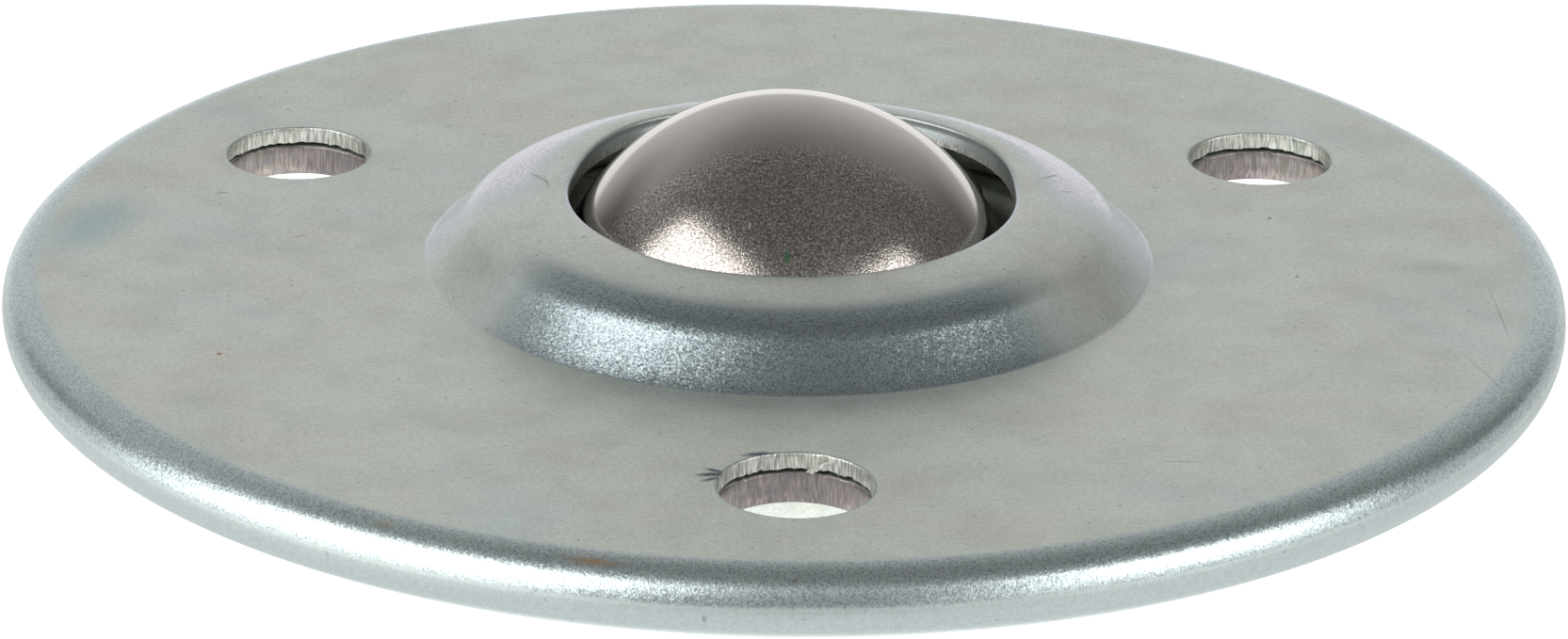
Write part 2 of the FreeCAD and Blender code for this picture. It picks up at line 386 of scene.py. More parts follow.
    # facets: the normal leans a random way in each cell
    cells = addNode(tree, "ShaderNodeTexVoronoi", {"Vector": place, "Scale": 1 / (look["pebble"] * mm)})
    lean = addNode(tree, "ShaderNodeVectorMath", {0: cells.outputs["Color"], 1: (0.5, 0.5, 0.5)},
                   operation="SUBTRACT")
    lean = addNode(tree, "ShaderNodeVectorMath", {
        0: lean.outputs[0], "Scale": calculated(tree, "MULTIPLY", pebbled, look["tilt"])}, operation="SCALE")
    leaning = addNode(tree, "ShaderNodeVectorMath", {
        0: addNode(tree, "ShaderNodeNewGeometry").outputs["Normal"], 1: lean.outputs[0]}, operation="ADD")
    leaning = addNode(tree, "ShaderNodeVectorMath", {0: leaning.outputs[0]}, operation="NORMALIZE")
    pebbles = addNode(tree, "ShaderNodeBump", {
        "Height": calculated(tree, "MULTIPLY", pebble, pebbled), "Distance": look["pebbleDepth"] * mm,
        "Strength": 1.0, "Normal": leaning.outputs[0]})
    lines = addNode(tree, "ShaderNodeBump", {
        "Height": rolled, "Distance": look["rollDepth"] * mm, "Strength": 1.0, "Normal": pebbles.outputs[0]})
    skin = addNode(tree, "ShaderNodeBump", {
        "Height": fine, "Distance": look["skinDepth"] * mm, "Strength": 1.0, "Normal": lines.outputs[0]})
    shader.inputs["Metallic"].default_value = 1.0
    for name, value in (("Base Color", colour), ("Roughness", rough), ("Normal", skin.outputs[0])):
        tree.links.new(value, shader.inputs[name])
    return material


def shearedEdge(name, colours, foot=None):
    # The cut wall of a punched hole: bright upright streaks where the punch burnished the steel, and
    # a dark ragged line of painted shade at its foot, where it meets the sheet below, given as the heights
    # in mm where it starts and is darkest.
    streak = 0.09                # mm across
    joinShade = "#2E2B29"
    material, tree, shader, place = newMaterial(name)
    streaks = grainAt(tree, place, streak, (1, 1, 9), detail=3, roughness=0.6)
    mottle = grainAt(tree, place, 0.5, detail=3)
    colour = tinted(tree, ranged(tree, streaks, 0.35, 0.65), linear(colours[0]), linear(colours[1]))
    colour = tinted(tree, ranged(tree, mottle, 0.45, 0.75, 0, 0.6), colour, linear(colours[2]))
    # painted shade along the join with the sheet below
    if foot:
        height = addNode(tree, "ShaderNodeSeparateXYZ", {0: place}).outputs["Z"]
        ragged = calculated(tree, "MULTIPLY_ADD", grainAt(tree, place, 0.25, detail=3), 0.2 * mm, height)
        low = ranged(tree, ragged, (foot[0] + 0.1) * mm, (foot[1] + 0.1) * mm, 0, 0.85)
        colour = tinted(tree, low, colour, linear(joinShade))
    bump = addNode(tree, "ShaderNodeBump", {"Height": streaks, "Distance": 0.02 * mm, "Strength": 1.0})
    rough = ranged(tree, mottle, 0.3, 0.7, 0.35, 0.55)
    shader.inputs["Metallic"].default_value = 1.0
    for name, value in (("Base Color", colour), ("Roughness", rough), ("Normal", bump.outputs[0])):
        tree.links.new(value, shader.inputs[name])
    return material


def groundBall(name, colours, roughness, sand, depth, rubbed=None, marks=(), metallic=1.0):
    # Hardened steel ball, tumbled and worn: a warm satin skin with a sandy sparkle, its grains and their
    # depth given in mm; the sparkle is bumps and painted glints, bright dots of the third colour. Where it
    # is rubbed smooth, given as a direction and the distances along it at which that starts and is full,
    # the sparkle and its painted glints are gone and it shines more.
    pit = "#6A645E"
    polish = 0.09                # how much less rough it is where rubbed
    material, tree, shader, place = newMaterial(name)
    grit = grainAt(tree, place, sand, detail=2, roughness=0.6)
    cloud = grainAt(tree, place, 5.0, detail=4)
    sandy, rough, height = 1.0, roughness, grit
    if rubbed:
        along = addNode(tree, "ShaderNodeVectorMath", {0: place, 1: rubbed[0]},
                        operation="DOT_PRODUCT").outputs["Value"]
        sandy = ranged(tree, along, rubbed[2] * mm, rubbed[1] * mm)
        rough = calculated(tree, "MULTIPLY_ADD", sandy, polish, roughness - polish)
        height = calculated(tree, "MULTIPLY", grit, calculated(tree, "MULTIPLY_ADD", sandy, 0.8, 0.2))
    colour = tinted(tree, ranged(tree, cloud, 0.35, 0.7), linear(colours[0]), linear(colours[1]))
    # painted glints: bright dots of the third colour over the sandy part
    paintedGlints = calculated(tree, "MULTIPLY", ranged(tree, grit, 0.54, 0.64, 0, 0.6), sandy)
    colour = tinted(tree, paintedGlints, colour, linear(colours[2]))
    if rubbed:
        pits = calculated(tree, "MULTIPLY", ranged(tree, grit, 0.5, 0.38, 0, 0.7), sandy)
        colour = tinted(tree, pits, colour, linear(pit))
    for centre, size, turn, hardness, breakup, paint, strength in marks:
        patch = markAt(tree, place, centre, size, turn, hardness, breakup)
        colour = tinted(tree, calculated(tree, "MULTIPLY", patch, strength), colour, linear(paint))
    bump = addNode(tree, "ShaderNodeBump", {"Height": height, "Distance": depth * mm, "Strength": 1.0})
    shader.inputs["Metallic"].default_value = metallic
    if rubbed:
        tree.links.new(rough, shader.inputs["Roughness"])
    else:
        shader.inputs["Roughness"].default_value = roughness
    for socket, value in (("Base Color", colour), ("Normal", bump.outputs[0])):
        tree.links.new(value, shader.inputs[socket])
    return material


zinc = zincSheet()
coverEdge = shearedEdge("sheared_cover_edge", ("#989C94", "#E4E6DF", "#C8CAC1"), (-0.74, -0.84))
plateEdge = shearedEdge("sheared_plate_edge", ("#7E7874", "#A39B97", "#908C95"))
loadBallSkin = {
    "colours": ("#ABA49E", "#B6B0AA", "#FFF8EE"),    # of its clouds, and of the painted glints
    "roughness": 0.16,
    "sand": 0.1,
    "depth": 0.009,
    "rubbed": ((0, 1, 0), -4.5, -3.2),
    "marks": (
        # centre, half sizes, turn, hardness, breakup, colour, strength
        ((-1.76, -7.45, 4.54), (0.07, 0.2, 0.22), 0, 0.5, 0.0, "#FFFFFF", 1.0),    # white tick
        ((-0.1, -8.65, 3.45), (0.16, 0.5, 0.62), 0, 0.2, 0.2, "#4FA070", 0.8),     # green streak
    ),
}
ballSteel = groundBall("ground_steel_ball", **loadBallSkin)
smallBallSkin = {                # half diffuse and light in colour: a painted brightness that lifts the balls seen in the dark gap
    "colours": ("#C5C2BC", "#D6D3CD", "#E0DDD7"),
    "roughness": 0.2,
    "sand": 0.2,
    "depth": 0.001,
    "metallic": 0.45,
}
smallBallSteel = groundBall("polished_steel_ball", **smallBallSkin)
print("materials made")

cover = {                        # the dressed cover; sizes on its outer face, in mm and degrees
    "thickness": 0.95,
    "domeBase": 16.8875,
    "crownRadius": 8.8,
    "crownAngle": 22.0,
    "shoulderRadius": 2.5,
    "wallAngle": 52.0,           # the wall is slightly hollow: steepest under the shoulder,
    "wallFoot": 42.0,            # less steep at its foot
    "wallBulge": 0.03,           # and all but straight on the right
    "bulgeTurn": 315,            # as seen from above
    "baseFillet": 0.3,
    "domeShift": (0.17, 0.1),    # how far off centre the dome was pressed,
    "shiftEnd": 20.5,            # out to this radius,
    "shiftFade": 3,              # and over which width it dies away
    "opening": 10.42,
    "lipRoll": 0.14,
    "flare": 0.9,                # how much wider the opening's far side stands at the top,
    "flareFoot": 0.72,           # the share of that at the wall's foot,
    "flareTurn": 85,             # and its heading
    "tight": 0.25,               # how much narrower it is on its left,
    "tightTurn": 185,            # and the heading of that
    "flareEnd": 13.6,            # radius of the crown's ring that neither moves,
    "flareFade": 3,              # and the width over which they die away
    # heading of the sheet round the rim and its radius of bend there
    "rimRadii": ((0, 3.0), (5, 2.2), (15, 2.1), (30, 1.7), (45, 1.2), (60, 0.7), (70, 1.1), (80, 2.2),
                 (95, 1.8), (180, 1.6)),
    "hemInner": 31.05,
    "wave": 0.02,                # how far the pressed flange is from flat,
    "waveStart": 20,             # from this radius on,
    "waveRise": 16,              # rising over this width
    "burnishAndShadeTurn": 265,          # the side of the dome that the dies burnished most, where its darker colour is painted shade
    "slopeTurn": 268,            # the side opposite its far slopes, which carry a painted reflection
    "lipBurnishAndShade": (0.45, 0.9),   # of the opening's lip, on its far side and its near one; darker on the far side as painted shade
    # of the opening's wall, which its darker colour gives a painted shade
    "wallBurnishAndShade": 0.6,
}


def rimCurve():
    # The sheet's heading turns from level to upside down; each step along it is the radius of bend
    # there times the turn, and the steps' sums, scaled to the rim's height, end at the flange's radius.
    turn = np.radians(np.linspace(0, 180, 721))
    headings, radii = zip(*cover["rimRadii"])
    bend = np.interp(np.degrees(turn), headings, radii)
    step = turn[1] * (bend[1:] + bend[:-1]) / 2
    middle = (turn[1:] + turn[:-1]) / 2
    r = np.append(0, np.cumsum(step * np.cos(middle)))
    z = -np.append(0, np.cumsum(step * np.sin(middle)))
    size = hemUnderside / z[-1]
    pick = np.arange(0, 721, 15)
    outer = np.column_stack((flangeRadius + size * (r - r.max()), size * z))[pick]
    inner = outer - cover["thickness"] * np.column_stack((np.sin(turn), np.cos(turn)))[pick]
    return outer, inner, np.degrees(turn)[pick]


def domeCentres():
    # The centres of the base fillet, hollow wall, shoulder and crown, each arc tangent to the next, and
    # the wall's radius, which makes the four arcs' rises add up to the dome's height.
    wall, foot, crown = (math.radians(cover[angle]) for angle in ("wallAngle", "wallFoot", "crownAngle"))
    footSide, wallSide, crownSide = (np.array((math.sin(a), math.cos(a))) for a in (foot, wall, crown))
    filletRise = cover["baseFillet"] * (1 - math.cos(foot))
    shoulderRise = cover["shoulderRadius"] * (math.cos(crown) - math.cos(wall))
    crownRise = cover["crownRadius"] * (1 - math.cos(crown))
    hollow = (domeHeight - filletRise - shoulderRise - crownRise) / (math.cos(foot) - math.cos(wall))
    base = np.array((cover["domeBase"], cover["baseFillet"]))
    hollowCentre = base + (hollow - cover["baseFillet"]) * footSide
    shoulder = hollowCentre - (hollow + cover["shoulderRadius"]) * wallSide
    crownCentre = shoulder + (cover["shoulderRadius"] - cover["crownRadius"]) * crownSide
    return base, hollowCentre, hollow, shoulder, crownCentre


innerRows = 5                    # rows of a flat sheet inside of the holes' windows
outerRows = 2                    # and outside of them


def flatRadii(inner, outer):
    # radii of the flat flange's rows, finer where the holes' windows lie
    low, high = holes["windowRadii"]
    return np.concatenate((np.linspace(inner, low, innerRows + 1)[:-1],
                           np.linspace(low, high, holes["windowRows"] + 1),
                           np.linspace(high, outer, outerRows + 1)[1:]))


def coverHoleWall(seed):
    # The top edge rolls in, the wall is scored upright, and below a ragged line the steel tore away:
    # offset from the hole's radius and height for each ring, from the top face to the underside.
    score = 0.016 * jagged(holePoints, 110, seed) + 0.012 * jagged(holePoints, 34, seed + 1)
    lip = 0.02 * jagged(holePoints, 46, seed + 2)
    tear = 0.07 * jagged(holePoints, 96, seed + 3) + 0.06 * jagged(holePoints, 23, seed + 4)
    depth = cover["thickness"]
    rings = [(0.5, 0.0), (0.14, 0.0), (0.085 + lip, -0.002), (0.05 + lip, -0.012 + 0.4 * lip)]
    rings += [(0.03 + lip, -0.03 + lip), (0.012 + score, -0.05 + lip), (score, -0.1 + lip)]
    rings += [(score, -0.1 - share * (depth - 0.34)) for share in (0.25, 0.5, 0.75)]
    rings += [(score, -depth + 0.2 + tear), (0.05 + score, -depth + 0.17 + tear)]
    rings += [(0.22 + 0.5 * score, -depth + 0.1 + 0.5 * tear), (0.32, -depth)]
    return rings


def holeDrag(number, angles):
    # the front hole was dragged a little towards the dome: up to 0.25 mm there, none on its near side
    return 0.25 * np.clip(np.sin(angles), 0, 1) ** 2 if number == 0 else 0.0 * angles


def coverUnderWall():
    # on the underside the hole's edge is the torn one, a little wider than the punch
    return [(0.62, -cover["thickness"]), (0.32, -cover["thickness"])]


def makeCover():
    # The sheet's profile runs up the opening's wall, over the dome, out along the flange, round the rim
    # and back underneath. It is turned round Z, bent out of round, and the holes' windows are filled.
    baseCentre, hollowCentre, hollow, shoulderCentre, crownCentre = domeCentres()
    thickness = cover["thickness"]
    opening = cover["opening"]
    lip = cover["lipRoll"]
    rimOuter, rimInner, turn = rimCurve()
    wall, foot, crown = cover["wallAngle"], cover["wallFoot"], cover["crownAngle"]
    crownSteps = 20
    flat = flatRadii(cover["domeBase"], rimOuter[0, 0])
    top = np.column_stack((flat, np.zeros(len(flat))))
    under = np.column_stack((flat, np.full(len(flat), -thickness)))[::-1]
    hemTop = hemUnderside + thickness
    fillet = cover["baseFillet"]
    shoulder = cover["shoulderRadius"]
    hem = cover["hemInner"]
    hemRoll = 0.1
    stretches = {                # profile points, how burnished they are
        "openingWall": (linePoints((opening, domeHeight - thickness + 0.05), (opening, domeHeight - lip),
                                   6)[:-1], 0.0),
        "lip": (arcPoints((opening + lip, domeHeight - lip), lip, -90, 0, 5)[:-1], 0.0),
        "crown": (arcPoints(crownCentre, cover["crownRadius"], 0, crown, crownSteps)[:-1],
                  np.clip((np.arange(crownSteps) - 12) / 6, 0, 1)),
        "shoulder": (arcPoints(shoulderCentre, shoulder, crown, wall, 14)[:-1], 1.0),
        "wall": (arcPoints(hollowCentre, hollow, wall + 180, foot + 180, 6)[:-1], 1.0),
        "fillet": (arcPoints(baseCentre, fillet, foot + 180, 180, 8)[:-1], np.linspace(1, 0.3, 8)),
        "flange": (top, np.where(flat < cover["domeBase"] + 0.1, 0.1, 0)),
        "rim": (rimOuter[1:], np.clip((turn[1:] + 2) / 10, 0, 1) * np.clip((92 - turn[1:]) / 4, 0, 0.9)),
        "hem": (linePoints(rimOuter[-1], (hem + hemRoll, hemUnderside), 4)[1:], 0.0),
        "hemEdge": (arcPoints((hem + hemRoll, hemUnderside + hemRoll), hemRoll, 180, 270, 4)[1:], 0.0),
        "hemInside": (linePoints((hem, hemTop - hemRoll), (rimInner[-1, 0], hemTop), 3)[:-1], 0.0),
        "rimInside": (rimInner[::-3], 0.0),
        "underside": (under[1:], 0.0),
        "filletUnder": (arcPoints(baseCentre, fillet + thickness, 180, foot + 180, 8)[1:], 0.0),
        "wallUnder": (arcPoints(hollowCentre, hollow + thickness, foot + 180, wall + 180, 4)[1:], 0.0),
        "shoulderUnder": (arcPoints(shoulderCentre, shoulder - thickness, wall, crown, 8)[1:], 0.0),
        "crownUnder": (arcPoints(crownCentre, cover["crownRadius"] - thickness, crown, 0, 8)[1:], 0.0),
        "openingUnder": (linePoints((crownCentre[0] - 0.05, domeHeight - thickness),
                                    (opening + 0.05, domeHeight - thickness), 1), 0.0),
    }
    profile = np.concatenate([points for points, value in stretches.values()])
    formedAndShade = np.concatenate([np.broadcast_to(value, len(points)) for points, value in stretches.values()])
    counts = [len(points) for points, value in stretches.values()]
    start = dict(zip(stretches, np.cumsum([0] + counts)))    # the first row of each stretch
    grid = turnProfile(profile)
    outward = np.clip((profile[:, :1] - cover["waveStart"]) / cover["waveRise"], 0, 1)
    grid[..., 2] += cover["wave"] * outward * softWave(columnAngles, 2, 5, 3)
    inward = np.clip((cover["shiftEnd"] - profile[:, :1, None]) / cover["shiftFade"], 0, 1)
    grid[..., :2] += inward * cover["domeShift"]
    # The opening flares on its far side, by flare times a smooth step of cos(a - heading), and on its
    # left it is a little tight; both fade out over the crown.
    widened = cover["flare"] * towards(cover["flareTurn"], 0.1, 0.7)
    widened = widened - cover["tight"] * towards(cover["tightTurn"], 0.5, 0.4)
    share = np.zeros(len(profile))
    share[:start["lip"]] = np.linspace(cover["flareFoot"], 1, start["lip"])
    share[start["lip"]:start["shoulder"]] = 1
    share[start["crownUnder"]:] = cover["flareFoot"]
    share *= np.clip((cover["flareEnd"] - profile[:, 0]) / cover["flareFade"], 0, 1)
    grid[..., :2] *= (1 + share[:, None] * widened / profile[:, :1])[..., None]
    # on its right the wall is straighter, raised in the middle
    wallRows = slice(start["wall"], start["fillet"])
    bulge = np.sin(np.pi * np.linspace(0, 1, start["fillet"] - start["wall"]))[:, None]
    bulge = bulge * (0.5 + 0.5 * np.cos(columnAngles - math.radians(cover["bulgeTurn"])))
    grid[wallRows, :, 2] += cover["wallBulge"] * bulge
    # the windows' first rows, past the coarse rows at the flange's inner side and at its outer one
    topRow = start["flange"] + innerRows
    underRow = start["underside"] + outerRows - 1
    keep = windowMask(len(profile), topRow) & windowMask(len(profile), underRow)
    isEdge = np.zeros(keep.shape, bool)
    isEdge[:2] = True
    isEdge[-1] = True
    faces = gridFaces(len(profile), len(columnAngles), closeRows=True).reshape(*keep.shape, 4)
    # the dies burnished the dome's shoulder most on the side towards -Y, where the camera stands, and its
    # darker colour there is painted shade; the far slopes get a light painted reflection of the sweep
    burnishAndShade = towards(cover["burnishAndShadeTurn"], 0.47, 0.32)
    away = np.clip((0.2 - np.cos(columnAngles - math.radians(cover["slopeTurn"]))) / 0.3, 0, 1)
    paintedSheen = np.ones(start["flange"] - start["crown"])
    paintedSheen[:crownSteps] = np.clip((np.arange(crownSteps) - 3) / 8, 0, 1)
    paintedSlopes = paintedSheen[:, None] * away
    lipRows = slice(start["lip"], start["crown"])
    domeRows = slice(start["crown"], start["flange"])
    rimRows = slice(start["rim"], start["hem"])
    values = np.repeat(formedAndShade[:, None], len(columnAngles), axis=1)
    values[domeRows] = np.maximum(values[domeRows] * (0.15 + 0.85 * burnishAndShade), 0.85 * paintedSlopes)
    # a painted highlight along the near side of the opening's lip; painted shade on its far side and wall
    paintedLipLine = np.clip((0.25 - np.sin(columnAngles)) / 0.3, 0, 1)
    farLip, nearLip = cover["lipBurnishAndShade"]
    values[lipRows] = farLip + (nearLip - farLip) * paintedLipLine
    values[2:start["lip"]] = cover["wallBurnishAndShade"]
    band = np.zeros_like(values)
    band[lipRows] = paintedLipLine
    band[domeRows] = paintedSlopes
    band[rimRows] = np.clip((turn[1:, None] - 88) / 4, 0, 1)
    paint = np.column_stack((values.ravel(), band.ravel()))
    chunks = [(grid, [(faces[keep & ~isEdge], 0), (faces[keep & isEdge], 1)], paint)]
    for number, column in enumerate(holes["columns"]):
        lift = grid[topRow + holes["windowRows"] // 2, column, 2]
        wallRings = [(out, z + lift) for out, z in coverHoleWall(10 * number)]
        points, ringFaces, fan, wallFaces = holeParts(grid, topRow, column, wallRings, number)
        perRing = len(wallFaces) // (len(wallRings) - 1)
        # a dark line of painted shade, pebbled and less rough, runs round the hole's rolled top edge
        paint = np.zeros((len(points), 2))
        shadeLineStart = len(points) - (len(wallRings) - 2) * holePoints
        paint[shadeLineStart:shadeLineStart + 2 * holePoints, 0] = 0.8
        chunks.append((points, [(ringFaces, 0), (fan, 0), (wallFaces[:4 * perRing], 0),
                                (wallFaces[4 * perRing:], 1)], paint))
        underRings = [(out, z + lift) for out, z in coverUnderWall()]
        points, ringFaces, fan, wallFaces = holeParts(grid, underRow, column, underRings, number)
        chunks.append((points, [(ringFaces, 0), (fan, 0), (wallFaces, 0)], 0.0))
    piece = makePiece("cover_pressing", chunks, "housing", [zinc, coverEdge])
    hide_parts("cover")
    return piece


plate = {                        # the dressed lower plate with its cup
    "thickness": 1.45,
    "raceRadius": 14.3875,
    "drawRadius": 0.5,
    "footRadius": 4.2,
    "edgeRoll": 0.3,
}


def plateHoleWall(seed):
    # a rolled top edge, then an upright scored wall, a little wider at its torn foot
    score = 0.014 * jagged(holePoints, 90, seed) + 0.02 * jagged(holePoints, 23, seed + 1)
    tear = 0.05 * jagged(holePoints, 40, seed + 2)
    depth = plate["thickness"]
    rings = [(0.5, 0.0), (0.16, -0.01), (0.08, -0.03), (0.045 + score, -0.07), (0.03 + score, -0.14)]
    rings += [(0.04 + score, -depth * share) for share in (0.3, 0.45, 0.6, 0.75)]
    rings += [(0.07 + score, -depth * 0.86 + tear), (0.1 + 0.4 * score, -depth)]
    return [(out, plateTop + z) for out, z in rings]


def makePlate():
    # The profile runs from the bottom of the race up its quarter circle, out over the draw radius and the
    # flat, and back along the cup's outside to its flat foot. It is turned round Z.
    thickness = plate["thickness"]
    underside = plateTop - thickness
    race = plate["raceRadius"]
    cup = race + thickness
    draw = plate["drawRadius"]
    drawCentre = (cup + draw, underside - draw)
    centre = (0, ballCentre[2])
    footAngle = 180 - math.degrees(math.asin(plate["footRadius"] / cup))
    roll = plate["edgeRoll"]
    flat = flatRadii(drawCentre[0], plateRadius - roll)
    top = np.column_stack((flat, np.full(len(flat), plateTop)))
    under = np.column_stack((flat, np.full(len(flat), underside)))[::-1]
    stretches = {
        "race": arcPoints(centre, race, 180, 90, 36)[:-1],
        "mouth": arcPoints(drawCentre, draw + thickness, -90, 0, 10)[:-1],
        "top": top,
        "edge": arcPoints((plateRadius - roll, plateTop - roll), roll, 0, 90, 4)[1:],
        "lowerEdge": linePoints((plateRadius, underside + 0.05), (plateRadius - 0.05, underside), 1),
        "underside": under,
        "neck": arcPoints(drawCentre, draw, 0, -90, 6)[1:],
        "cup": arcPoints(centre, cup, 90, footAngle, 36)[1:],
        "foot": linePoints((plate["footRadius"] * 0.97, footLevel), (0, footLevel), 3),
    }
    profile = np.concatenate(list(stretches.values()))
    counts = [len(points) for points in stretches.values()]
    start = dict(zip(stretches, np.cumsum([0] + counts)))
    grid = turnProfile(profile)
    topRow = start["top"] + innerRows
    underRow = start["underside"] + outerRows
    keep = (windowMask(len(profile), topRow) & windowMask(len(profile), underRow))[:-1]
    faces = gridFaces(len(profile), len(columnAngles)).reshape(*keep.shape, 4)
    chunks = [(grid, [(faces[keep], 0)], 0.0)]
    for number, column in enumerate(holes["columns"]):
        rings = plateHoleWall(100 + 10 * number)
        points, ringFaces, fan, wallFaces = holeParts(grid, topRow, column, rings, number)
        perRing = len(wallFaces) // (len(rings) - 1)
        chunks.append((points, [(ringFaces, 0), (fan, 0), (wallFaces[:2 * perRing], 0),
                                (wallFaces[2 * perRing:], 1)], 0.0))
        points, ringFaces, fan, wallFaces = holeParts(grid, underRow, column,
                                                      [(0.5, underside), (rings[-1][0], underside)], number)
        chunks.append((points, [(ringFaces, 0), (fan, 0), (wallFaces, 0)], 0.0))
    piece = makePiece("cup_plate_pressing", chunks, "housing", [zinc, plateEdge])
    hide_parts("cup_plate")
    return piece


flake = {                        # a sliver of plating and steel torn up from the front hole's far wall
    "start": (0.45, -23.1, -0.86),
    "end": (1.9, -23.44, -0.06),
    "width": 0.44,
    "thickness": 0.05,
    "across": (0.1, -0.95, -0.25),
    "through": (-0.42, -0.2, 0.88),
    "points": 17,                # along it
}


def makeFlake():
    # a strip whose cross-section (across, through) runs round a diamond, narrowing to a point at both ends
    count = flake["points"]
    t = np.linspace(0, 1, count)[:, None]
    path = np.array(flake["start"]) * (1 - t) + np.array(flake["end"]) * t
    ragged = 1 + 0.4 * jagged(count, 9, 5)[:, None]
    width = flake["width"] * np.sqrt(np.clip(4 * t * (1 - t), 0, 1)) * ragged
    path[:, 2:] += 0.04 * jagged(count, 7, 6)[:, None]
    across = np.array(flake["across"])
    through = np.array(flake["through"])
    body = flake["thickness"] * np.clip(8 * t * (1 - t), 0, 1)
    corners = (path - 0.3 * width * across, path + body * through,
               path + 0.7 * width * across, path - body * through)
    grid = np.stack(corners, axis=1)
    chunk = (grid, [(gridFaces(count, 4), 0)], (0.0, 1.0))
    piece = makePiece("front_hole_flake", [chunk], "housing", [coverEdge], 30)
    return piece


def ballGrid(radius, centre, steps):
    # x = R cos u, y = R sin u cos v, z = R sin u sin v: the poles lie on the rolling axis X
    u = np.linspace(0, np.pi, steps + 1)[:, None]
    v = np.linspace(0, 2 * np.pi, 2 * steps, endpoint=False)[None, :]
    x = np.cos(u) + 0 * v
    return np.stack((x, np.sin(u) * np.cos(v), np.sin(u) * np.sin(v)), axis=-1) * radius + centre


def makeBall(name, node, body, radius, centre, steps, material):
    # a ball on that grid, in place of the node's own
    grid = ballGrid(radius, centre, steps)
    piece = makePiece(name, [(grid, [(gridFaces(steps + 1, 2 * steps), 0)], 0.0)], body, [material])
    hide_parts(node)
    return piece


makeCover()
makePlate()
makeFlake()
loadBallSteps = 96               # from pole to pole
smallBallSteps = 16
makeBall("load_ball_ground", "load_ball", "load_ball", ballRadius, ballCentre, loadBallSteps, ballSteel)
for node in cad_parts:
    if not node.startswith("support_ball"):
        continue
    low, high = (np.array(corner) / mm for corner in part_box(node))
    if node.startswith("support_balls_"):            # a whole row, deep in the race, stays as it is
        for slot in bpy.data.objects[node].material_slots:
            slot.material = smallBallSteel
        continue
    body = "centre_support_ball" if node.endswith("centre") else "support_balls"
    makeBall(node + "_ground", node, body, (high[0] - low[0]) / 2, (high + low) / 2, smallBallSteps,
             smallBallSteel)
print("pieces made")

photoCamera = {
    "lens": 177.85,
    "azimuth": 268.672,          # where the camera stands, degrees about Z
    "elevation": 22.116,
    "roll": 0.819,
    "distance": 358.6,           # mm
    "target": (0.003, 0.0, -3.062),
}

light = {                        # lamps and room as the part sees them; turns count from the camera's side
    "lamps": {
        "left": {"turn": -62, "edges": (-28, 43), "top": 1.34, "foot": -0.03, "distance": 0.6,
                 "radiance": 2.8},
        "right": {"turn": 64, "edges": (-26, 17), "top": 0.79, "foot": -0.03, "distance": 0.6,
                  "radiance": 3.0},
    },
    # brightness of the sweep behind, of the room and of the room over the camera, by elevation
    "back": ((-90, 1.4), (2, 1.4), (5, 0.82), (20, 0.74), (30, 0.64), (40, 0.52), (50, 0.4), (60, 0.29),
             (72, 0.22), (90, 0.21)),
    "room": ((-90, 0.15), (0, 0.15), (12, 0.17), (32, 0.19), (42, 0.21), (60, 0.21), (90, 0.2)),
    "front": ((-90, 0.2), (0, 0.2), (12, 0.33), (25, 0.42), (40, 0.33), (54, 0.24), (68, 0.2), (90, 0.2)),
    "sweepTint": (-0.03, -0.03, 0.07),    # added to the sweep's red, green and blue under 5 degrees
    "floorFront": 0.2,           # what the steel sees of the floor: dark towards the camera,
    "floorNear": 1.0,            # white near the part, behind it and under it,
    "floorBack": 1.2,
    "floorUnder": 2.3,
    "floorSides": 0.55,          # share of those far out on either side
    "floorFar": 1500,            # mm to the table's edge
    "floorGlow": 0.88,           # the table's own share of its white, as the camera sees it
    # the boxes mirrored in the floor: turn, outer and inner half width, start in m, radiance
    "pools": ((-58, 40, 28, 0.07, 2.1), (50, 34, 22, 0.12, 2.0)),
}


